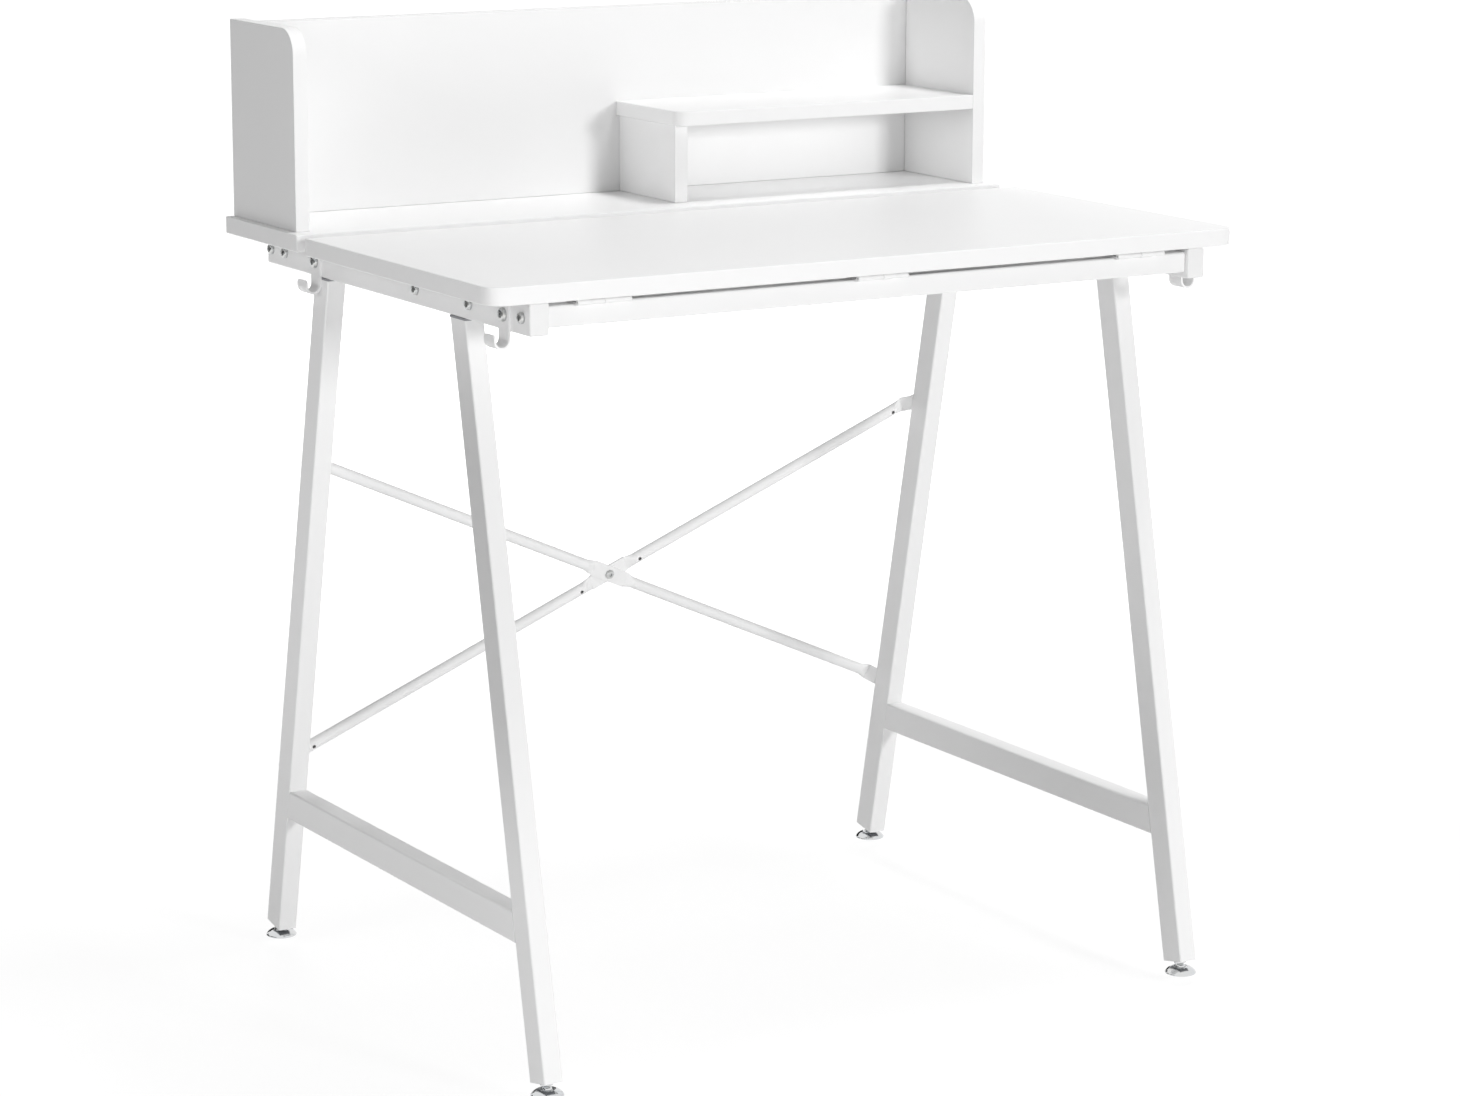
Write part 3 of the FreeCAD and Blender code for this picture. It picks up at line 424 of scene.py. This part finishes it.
# Heads with a hexagon socket on a plain shank, in mm. The crown is at height 0, the shank goes down.
railScrew = {"head": 5.5, "headHeight": 4.0, "shank": 3.0, "tip": 0.6, "rim": 0.3, "wall": 1.2,
             "socket": 4.6, "bevel": 0.25, "depth": 2.4, "point": 0.7}
pivotScrew = dict(railScrew, shank=2.5)
hookScrew = dict(railScrew, head=6.5, shank=2.5, wall=1.0)
braceScrew = dict(railScrew, head=5.0, headHeight=3.0, shank=2.5, wall=0.8, socket=3.0, depth=1.7)
legBolt = dict(railScrew, head=5.0, headHeight=5.0, wall=4.2, socket=5.0, depth=2.6)
socketCut = {"land": 1.3,  # share of half the socket's width
             "mouth": 1.06, "floor": 0.12,  # shares of its width
             "mouthDrop": 0.02, "crownSteps": 6}


def socketScrewRings(size, length):
    crown, seat = 0.0, -size["headHeight"]
    rings = [ring(size["shank"] - size["tip"], -length), ring(size["shank"], -length + size["tip"]),
             ring(size["shank"], seat), ring(size["head"] - size["rim"], seat),
             ring(size["head"], seat + size["rim"]), ring(size["head"], seat + size["wall"])]
    steps = socketCut["crownSteps"]
    land = size["socket"] / 2 * socketCut["land"]
    for k in range(1, steps + 1):
        turn = math.tau / 4 * k / steps
        reach = land + (size["head"] - land) * math.cos(turn)
        rings.append(ring(reach, seat + size["wall"] + (crown - seat - size["wall"]) * math.sin(turn)))
    rings.append(ring(hexagon(size["socket"] * socketCut["mouth"]), crown - socketCut["mouthDrop"]))
    rings.append(ring(hexagon(size["socket"]), crown - size["bevel"]))
    rings.append(ring(hexagon(size["socket"]), crown - size["depth"]))
    rings.append(ring(size["socket"] * socketCut["floor"], crown - size["depth"] - size["point"]))
    return rings


def towardsMiddle(points):
    return Vector((-math.copysign(1, points[0].x), 0, 0))


for nodeName, size in (("rail_screws", railScrew), ("prop_bolts", pivotScrew), ("hook_screws", hookScrew)):
    piece = TurnedPiece(nodeName + "_socketHead")
    for points in solidsOf(nodeName):
        way = towardsMiddle(points)
        start, length = axisStart(points, way)
        piece.addCopy(socketScrewRings(size, length), start, -way)
    piece.finish(nodeName, "frame", "zinc_plated_steel")

piece = TurnedPiece("leg_bolts_socketHead")
for points in solidsOf("leg_bolts"):
    start, length = axisStart(points, -zAxis)
    piece.addCopy(socketScrewRings(legBolt, length), start, zAxis)
piece.finish("leg_bolts", "frame", "zinc_plated_steel")

# The brace lies on the backs of the rear legs, so its screws stand square to the lean of those legs.
braceOut = xAxis.cross(Vector(joints["stem_rear_left_screw"]["axis"])).normalized()
crossingReach = 50  # mm; the bolt at the brace's crossing and its nut lie this near the middle


def atCrossing(points):
    return abs(sum(p.x for p in points) / len(points)) < crossingReach


piece = TurnedPiece("brace_screws_socketHead")
for points in solidsOf("brace_screws"):
    way = braceOut if atCrossing(points) else -braceOut  # the bolt at the crossing has its head in front
    start, length = axisStart(points, way)
    piece.addCopy(socketScrewRings(braceScrew, length), start, -way)
piece.finish("brace_screws", "frame", "zinc_plated_steel")

# Flush heads and a pan head with a cross recess, in mm.
hingeScrew = {"shank": 1.25, "tip": 2.0, "head": 2.2, "arm": 1.3, "depth": 0.8}
hutchScrew = {"shank": 2.5, "tip": 5.0, "head": 4.5, "arm": 2.4, "depth": 1.8}
cleatScrew = {"shank": 2.0, "tip": 4.0, "head": 3.5, "arm": 2.0, "depth": 1.2}
boardScrew = {"shank": 2.0, "tip": 4.0, "arm": 1.9, "depth": 1.1, "head": 3.5, "headHeight": 2.0, "rim": 0.2,
              "land": 1.2,  # share of the arm
              "dome": [(1.0, 0.55), (0.93, 0.22), (0.8, 0.05)]}  # shares of the head's radius and height
crossCut = {"mouthWidth": 0.3, "floorArm": 0.55, "floorWidth": 0.2, "land": 1.25,  # shares of the arm
            "tip": 0.15,  # share of the shank
            "mouthDrop": 0.02, "headEdge": 0.12}


# The head's shape is a list of radius and height, from the seat to the recess.
def crossScrewRings(size, length, headShape):
    rings = [ring(size["shank"] * crossCut["tip"], -length), ring(size["shank"], -length + size["tip"])]
    rings += [ring(radius, height) for radius, height in headShape]
    mouth = crossOutline(size["arm"], size["arm"] * crossCut["mouthWidth"])
    bed = crossOutline(size["arm"] * crossCut["floorArm"], size["arm"] * crossCut["floorWidth"])
    top = headShape[-1][1]
    rings.append(ring(mouth, top - crossCut["mouthDrop"]))
    rings.append(ring(bed, top - size["depth"]))
    return rings


for nodeName, body, size, way in (
    ("hinge_top_screws", "top", hingeScrew, zAxis),
    ("hinge_rail_screws", "frame", hingeScrew, -zAxis),
    ("hutch_screws", "frame", hutchScrew, zAxis),
    ("prop_cleat_screws", "top", cleatScrew, zAxis),
):
    piece = TurnedPiece(nodeName + "_crossHead")
    cone = size["head"] - size["shank"]
    headShape = [(size["shank"], -cone), (size["head"], -crossCut["headEdge"]), (size["head"], 0.0),
                 (size["arm"] * crossCut["land"], 0.0)]
    for points in solidsOf(nodeName):
        start, length = axisStart(points, way)
        piece.addCopy(crossScrewRings(size, length, headShape), start, -way)
    piece.finish(nodeName, body, "zinc_plated_steel")

piece = TurnedPiece("rear_board_screws_panHead")
rise, head, rim = boardScrew["headHeight"], boardScrew["head"], boardScrew["rim"]
headShape = [(boardScrew["shank"], -rise), (head - rim, -rise), (head, -rise + rim)]
headShape += [(head * out, -rise * down) for out, down in boardScrew["dome"]]
headShape.append((boardScrew["arm"] * boardScrew["land"], 0.0))
for points in solidsOf("rear_board_screws"):
    start, length = axisStart(points, zAxis)
    piece.addCopy(crossScrewRings(boardScrew, length, headShape), start, -zAxis)
piece.finish("rear_board_screws", "frame", "zinc_plated_steel")
print("screws made")

# Hexagon nuts, in mm, chamfered on both faces, so that each flat ends in a curved edge.
hexNut = {"across": 10.0, "thick": 5.0, "faceShare": 0.95, "chamfer": 30, "bore": 2.55, "lead": 0.35}


def nutRings(size):
    outline = hexagon(size["across"])
    face = size["across"] / 2 * size["faceShare"]
    slope = math.tan(math.radians(size["chamfer"]))
    thick, bore = size["thick"], size["bore"]

    def drop(angle):
        return (outline(angle) - face) * slope

    return [ring(bore, size["lead"]), ring(bore + size["lead"], 0), ring(face, 0),
            ring(outline, drop), ring(outline, lambda angle: thick - drop(angle)), ring(face, thick),
            ring(bore + size["lead"], thick), ring(bore, thick - size["lead"])]


piece = TurnedPiece("nuts_hexagon")
for points in solidsOf("nuts"):
    way = braceOut if atCrossing(points) else towardsMiddle(points)
    start = axisStart(points, way)[0]
    piece.addCopy(nutRings(hexNut), start, way, hollow=True)
piece.finish("nuts", "frame", "zinc_plated_steel")

# Hinge pins, in mm, with ends peened over to a low dome inside the barrel. The dome's shape is in shares.
hingePin = {"radius": 1.2, "dome": 0.4, "domeShape": [(0.4, 0.0), (0.8, 0.35), (1.0, 1.0)]}
pinEnd = [(hingePin["radius"] * out, hingePin["dome"] * up) for out, up in hingePin["domeShape"]]
piece = TurnedPiece("hinge_pins_peened")
for points in solidsOf("hinge_pins"):
    start, length = axisStart(points, xAxis)
    otherEnd = [(radius, length - height) for radius, height in reversed(pinEnd)]
    piece.addCopy([ring(radius, height) for radius, height in pinEnd + otherEnd], start, xAxis)
piece.finish("hinge_pins", "frame", "zinc_plated_steel")
print("nuts and pins made")

# Glide stems, in mm: a ball, a chamfered spanner collar and a rolled thread, all in one turned piece.
glideStem = {"ball": 5.0, "ballSteps": 12,
             "ballStart": 0.98,  # share of half a turn
             "collarAcross": 12.0, "collarLow": 4.149, "collarThick": 2.0, "collarSlope": 0.5,
             "faceShare": 0.94,
             "thread": 4.0, "root": 3.45, "pitch": 1.25, "endChamfer": 0.3,
             "crestFrom": 0.3, "crestTo": 0.55, "rootFrom": 0.85}  # shares of the pitch


def stemRings(size, length):
    ball, low, root = size["ball"], size["collarLow"], size["root"]
    high = low + size["collarThick"]
    top = length - ball
    rings = []
    firstTurn = math.pi * size["ballStart"]
    lastTurn = math.acos(low / ball)
    for k in range(size["ballSteps"] + 1):
        turn = firstTurn + (lastTurn - firstTurn) * k / size["ballSteps"]
        rings.append(ring(ball * math.sin(turn), ball * math.cos(turn)))
    outline = hexagon(size["collarAcross"])
    face = size["collarAcross"] / 2 * size["faceShare"]

    def drop(angle):
        return (outline(angle) - face) * size["collarSlope"]

    def climb(turn, share):
        limit = top - size["endChamfer"]
        return lambda angle: min(high + size["pitch"] * (turn + share + angle / math.tau), limit)

    rings += [ring(face, low), ring(outline, lambda angle: low + drop(angle)),
              ring(outline, lambda angle: high - drop(angle)), ring(face, high), ring(root, high)]
    threadShape = [(root, 0.0), (size["thread"], size["crestFrom"]), (size["thread"], size["crestTo"]),
                   (root, size["rootFrom"])]
    for turn in range(int((top - high) / size["pitch"])):
        rings += [ring(radius, climb(turn, share)) for radius, share in threadShape]
    rings += [ring(root, top - size["endChamfer"]), ring(root - size["endChamfer"], top)]
    return rings


# Glide bases, in mm: a pressed dish with a rolled rim, a collar spun over the ball, and a pad below.
glideBase = {
    "radius": 16.0, "rim": 1.5, "height": 7.0, "shoulder": 7.5, "dishSteps": 12,
    "pad": 13.4, "padLift": 0.4, "padBevel": 0.3, "padEdge": 0.25,
    "padMiddle": 0.2,  # share of the pad
    "beadWidth": 1.2, "neck": 0.05,
    "bead": [(0.5, 0.18), (0.12, 0.45)],  # the rolled edge, in from the radius, and up
    "bulge": 0.6,  # share of the rim's height
    "collar": [(0.35, 0.02), (0.7, 0.3)],  # in from the shoulder, and down from the top
    "mouth": 5.3,
    "lip": [(0.45, 0.3), (0.25, 0.12), (0.0, 0.1)],  # out from the mouth, and down from the top
    "socket": 5.05, "socketDrop": 0.3, "socketSteps": 6, "ballHeight": 6.0,
    "socketEnd": 0.95,  # share of half a turn
}


# Middle and radius of the circle through three points.
def arcThrough(a, b, c):
    d = 2 * (a[0] * (b[1] - c[1]) + b[0] * (c[1] - a[1]) + c[0] * (a[1] - b[1]))
    squares = [p[0] ** 2 + p[1] ** 2 for p in (a, b, c)]
    x = (squares[0] * (b[1] - c[1]) + squares[1] * (c[1] - a[1]) + squares[2] * (a[1] - b[1])) / d
    y = (squares[0] * (c[0] - b[0]) + squares[1] * (a[0] - c[0]) + squares[2] * (b[0] - a[0])) / d
    return (x, y), math.hypot(a[0] - x, a[1] - y)


def baseRings(size):
    radius, rim, height, shoulder = size["radius"], size["rim"], size["height"], size["shoulder"]
    pad, padLift = size["pad"], size["padLift"]
    profile = [(pad * size["padMiddle"], 0), (pad - size["padBevel"], 0), (pad, size["padEdge"]),
               (pad, padLift), (radius - size["beadWidth"], padLift)]
    profile += [(radius - inward, up) for inward, up in size["bead"]]
    profile += [(radius, rim * size["bulge"]), (radius - size["neck"], rim)]
    crown = (radius - rim, height / 2)  # the dish follows the arc of the CAD base
    middle, reach = arcThrough((radius, rim), crown, (shoulder, height))
    first = math.atan2(rim - middle[1], radius - middle[0])
    last = math.atan2(height - middle[1], shoulder - middle[0])
    for k in range(1, size["dishSteps"] + 1):
        turn = first + (last - first) * k / size["dishSteps"]
        profile.append((middle[0] + reach * math.cos(turn), middle[1] + reach * math.sin(turn)))
    profile += [(shoulder - inward, height - down) for inward, down in size["collar"]]
    profile += [(size["mouth"] + outward, height - down) for outward, down in size["lip"]]
    ballHeight, socket = size["ballHeight"], size["socket"]
    first = math.acos((height - size["socketDrop"] - ballHeight) / socket)
    last = math.pi * size["socketEnd"]
    for k in range(1, size["socketSteps"] + 1):
        turn = first + (last - first) * k / size["socketSteps"]
        profile.append((socket * math.sin(turn), ballHeight + socket * math.cos(turn)))
    return [ring(out, up) for out, up in profile]


for corner in corners:
    legUp = -Vector(joints["stem_" + corner + "_screw"]["axis"])
    ballPlace = Vector(joints["base_" + corner + "_swivel"]["pos_m"])
    length = axisStart(solidsOf("glide_stem_" + corner)[0], legUp)[1]
    stem = TurnedPiece("glide_stem_threaded_" + corner)
    stem.addCopy(stemRings(glideStem, length), ballPlace / mm, legUp)
    stem.finish("glide_stem_" + corner, "stem_" + corner, "chrome")
    base = TurnedPiece("glide_base_pressed_" + corner)
    foot = Vector((ballPlace.x, ballPlace.y, 0)) / mm
    base.addCopy(baseRings(glideBase), foot, zAxis)
    base.finish("glide_base_" + corner, "base_" + corner, "chrome")
print("glides made")


# Plain pale floor: white where it is seen, with the desk's shadow near the feet; a pale bounce for the rest.
floorLook = {"colour": "FFFFFF", "bounceColour": "EDEDED", "glow": 0.89, "shade": 0.16,
             "farShade": 0.6,  # a lit share far off, without which thin bars before it stay grainy
             "shadowReach": 1.0, "clearReach": 2.2, "size": 40.0,
             "level": -9.3 * mm}  # just below the glide bases when they are screwed out and turned


# 1 for rays from the camera, and for those that a shiny or clear surface sends on.
def seenByEye(tree):
    path = addNode(tree, "ShaderNodeLightPath")
    mirrored = addNode(tree, "ShaderNodeMath", {"operation": "MAXIMUM"},
                       {0: path.outputs["Is Camera Ray"], 1: path.outputs["Is Glossy Ray"]})
    either = addNode(tree, "ShaderNodeMath", {"operation": "MAXIMUM"},
                     {0: mirrored.outputs[0], 1: path.outputs["Is Transmission Ray"]})
    return either.outputs[0]


def whiteFloor():
    material = bpy.data.materials.new("floor_paintedWhite")
    material.use_nodes = True
    material.cycles.emission_sampling = "NONE"  # the white is only for the eye, so no light is sought there
    tree = material.node_tree
    tree.nodes.clear()
    place = addNode(tree, "ShaderNodeNewGeometry")
    away = addNode(tree, "ShaderNodeVectorMath", {"operation": "LENGTH"}, {0: place.outputs["Position"]})
    reach = {"From Min": floorLook["shadowReach"], "From Max": floorLook["clearReach"]}
    shadeRange = dict(reach, **{"To Min": floorLook["shade"], "To Max": floorLook["farShade"]})
    glowRange = dict(reach, **{"To Min": floorLook["glow"], "To Max": 1.0})
    shade = addNode(tree, "ShaderNodeMapRange", shadeRange, {"Value": away.outputs["Value"]})
    level = addNode(tree, "ShaderNodeMapRange", glowRange, {"Value": away.outputs["Value"]})
    shadowed = addNode(tree, "ShaderNodeBsdfDiffuse", links={"Color": shade.outputs[0]})
    glow = addNode(tree, "ShaderNodeEmission", {"Color": hexToLinear(floorLook["colour"])},
                   {"Strength": level.outputs[0]})
    seen = addNode(tree, "ShaderNodeAddShader", links={0: shadowed.outputs[0], 1: glow.outputs[0]})
    pale = addNode(tree, "ShaderNodeBsdfDiffuse", {"Color": hexToLinear(floorLook["bounceColour"])})
    chosen = addNode(tree, "ShaderNodeMixShader",
                     links={0: seenByEye(tree), 1: pale.outputs[0], 2: seen.outputs[0]})
    addNode(tree, "ShaderNodeOutputMaterial", links={"Surface": chosen.outputs[0]})
    return material


def stageSheet(name, width, height, material):
    grid = bmesh.new()
    bmesh.ops.create_grid(grid, x_segments=1, y_segments=1, size=0.5)  # one metre square
    bmesh.ops.scale(grid, vec=(width, height, 1), verts=grid.verts)
    mesh = bpy.data.meshes.new(name)
    grid.to_mesh(mesh)
    grid.free()
    mesh.materials.append(material)
    sheet = bpy.data.objects.new(name, mesh)
    bpy.context.scene.collection.objects.link(sheet)
    return sheet


floor = stageSheet("floor", floorLook["size"], floorLook["size"], whiteFloor())
floor.location.z = floorLook["level"]

# Dark cards beside the set. Only shiny surfaces see them, so that bright metal reads against the white.
darkCard = {"colour": "1A1A1B", "roughness": 1.0,
            "unseenBy": ("camera", "diffuse", "shadow", "transmission", "volume_scatter"),
            "places": [((-2.6, 0.2, 0.7), (90, 0, 90), 2.2, 1.0),  # place, turn, width and height
                       ((0.6, 3.0, 0.9), (90, 0, 0), 2.6, 1.2),
                       ((-2.3, 2.6, 0.5), (90, 0, 40), 2.4, 1.4)]}
# A flag between the left softbox and the front legs. It only blocks light, so their upper sides stay darker.
flagCard = {"unseenBy": ("camera", "diffuse", "glossy", "transmission", "volume_scatter"),
            "place": (-0.75, -0.36, 0.60), "turn": (90, 0, 90), "width": 0.5, "height": 0.36}
cardMaterial = bpy.data.materials.new("card_blackFelt")
cardMaterial.use_nodes = True
cardShader = cardMaterial.node_tree.nodes["Principled BSDF"]
cardShader.inputs["Base Color"].default_value = hexToLinear(darkCard["colour"])
cardShader.inputs["Roughness"].default_value = darkCard["roughness"]


def hangCard(name, place, turn, width, height, unseenBy):
    card = stageSheet(name, width, height, cardMaterial)
    card.location = place
    card.rotation_euler = [math.radians(angle) for angle in turn]
    for ray in unseenBy:
        setattr(card, "visible_" + ray, False)


for place, turn, width, height in darkCard["places"]:
    hangCard("darkCard", place, turn, width, height, darkCard["unseenBy"])
hangCard("flagCard", **flagCard)

# A dim room, a little lighter above, that is white to the eye.
roomLight = {"colour": "FFFFFF", "sideStrength": 0.12, "upperStrength": 0.20,
             "sideTo": 0.15, "upperFrom": 0.6}


def lightRoom():
    world = bpy.data.worlds.new("studioRoom")
    bpy.context.scene.world = world
    world.use_nodes = True
    world.cycles.sampling_method = "NONE"  # soft and dim, so rays find it well enough
    tree = world.node_tree
    tree.nodes.clear()
    colour = hexToLinear(roomLight["colour"])
    coords = addNode(tree, "ShaderNodeTexCoord")
    height = addNode(tree, "ShaderNodeSeparateXYZ", links={0: coords.outputs["Generated"]})
    level = addNode(tree, "ShaderNodeMapRange",
                    {"From Min": roomLight["sideTo"], "From Max": roomLight["upperFrom"],
                     "To Min": roomLight["sideStrength"], "To Max": roomLight["upperStrength"]},
                    {"Value": height.outputs["Z"]})
    ambient = addNode(tree, "ShaderNodeBackground", {"Color": colour}, {"Strength": level.outputs[0]})
    white = addNode(tree, "ShaderNodeBackground", {"Color": colour, "Strength": 1.0})
    mixed = addNode(tree, "ShaderNodeMixShader",
                    links={0: seenByEye(tree), 1: ambient.outputs[0], 2: white.outputs[0]})
    addNode(tree, "ShaderNodeOutputWorld", links={"Surface": mixed.outputs[0]})


lightRoom()

# Studio lamps: a softbox far off on the right in front, one high on the right, one on the left, a small one
# low in front of the left legs, one behind for the back, and a faint one under the shelf.
shelfGap = 4 * mm  # the faint lamp hangs this far below the shelf
shelfLow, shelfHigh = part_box("hutch_shelf")
underX, underY = (shelfLow.x + shelfHigh.x) / 2, (shelfLow.y + shelfHigh.y) / 2
lamps = {
    "key": {"place": (1.75, -5.9, 1.85), "aim": (0.0, 0.1, 0.75), "size": (1.0, 0.9), "power": 155.0},
    "overhead": {"place": (0.9, -0.3, 4.0), "aim": (0.0, 0.1, 0.76), "size": (1.0, 0.8), "power": 71.0},
    "leftSide": {"place": (-4.2, -0.9, 1.8), "aim": (0.0, 0.0, 0.6), "size": (1.6, 1.4), "power": 39.0},
    "legFill": {"place": (-1.2, -2.3, 0.45), "aim": (-0.4, 0.0, 0.4), "size": (0.8, 0.8), "power": 10.0},
    "behind": {"place": (1.2, 4.5, 1.8), "aim": (0.0, 0.0, 0.6), "size": (2.0, 1.8), "power": 92.0},
    "underShelf": {"place": (underX, underY, shelfLow.z - shelfGap), "aim": (underX, underY, 0.0),
                   "size": (0.3, 0.08), "power": 0.05},
}
for name, lamp in lamps.items():
    light = bpy.data.lights.new(name, "AREA")
    light.energy = lamp["power"]
    light.shape = "RECTANGLE"
    light.size, light.size_y = lamp["size"]
    holder = bpy.data.objects.new(name, light)
    holder.location = lamp["place"]
    aim = Vector(lamp["aim"]) - Vector(lamp["place"])
    holder.rotation_euler = aim.to_track_quat("-Z", "Y").to_euler()
    holder.visible_glossy = False
    holder.visible_camera = False
    bpy.context.scene.collection.objects.link(holder)
print("floor and light ready")

# The camera stands in front on the left, above the desk, with a long lens.
view = {"place": (-2.1088, -3.5058, 1.2959), "yaw": 31.087, "pitch": -11.975, "roll": 0.187,
        "lens": 101.88, "sensor": 36.0, "clipEnd": 100}
camera = bpy.data.objects.new("photoCamera", bpy.data.cameras.new("photoCamera"))
camera.data.lens = view["lens"]
camera.data.sensor_width = view["sensor"]
camera.data.clip_end = view["clipEnd"]
# An unturned camera looks straight down, so 90 degrees bring it level.
turn = Matrix.Rotation(-math.radians(view["yaw"]), 4, "Z")
turn = turn @ Matrix.Rotation(math.radians(90 + view["pitch"]), 4, "X")
turn = turn @ Matrix.Rotation(math.radians(view["roll"]), 4, "Z")
camera.matrix_world = Matrix.Translation(view["place"]) @ turn
bpy.context.scene.collection.objects.link(camera)
bpy.context.scene.camera = camera
bpy.context.scene.view_settings.view_transform = "Standard"

bpy.context.view_layer.update()
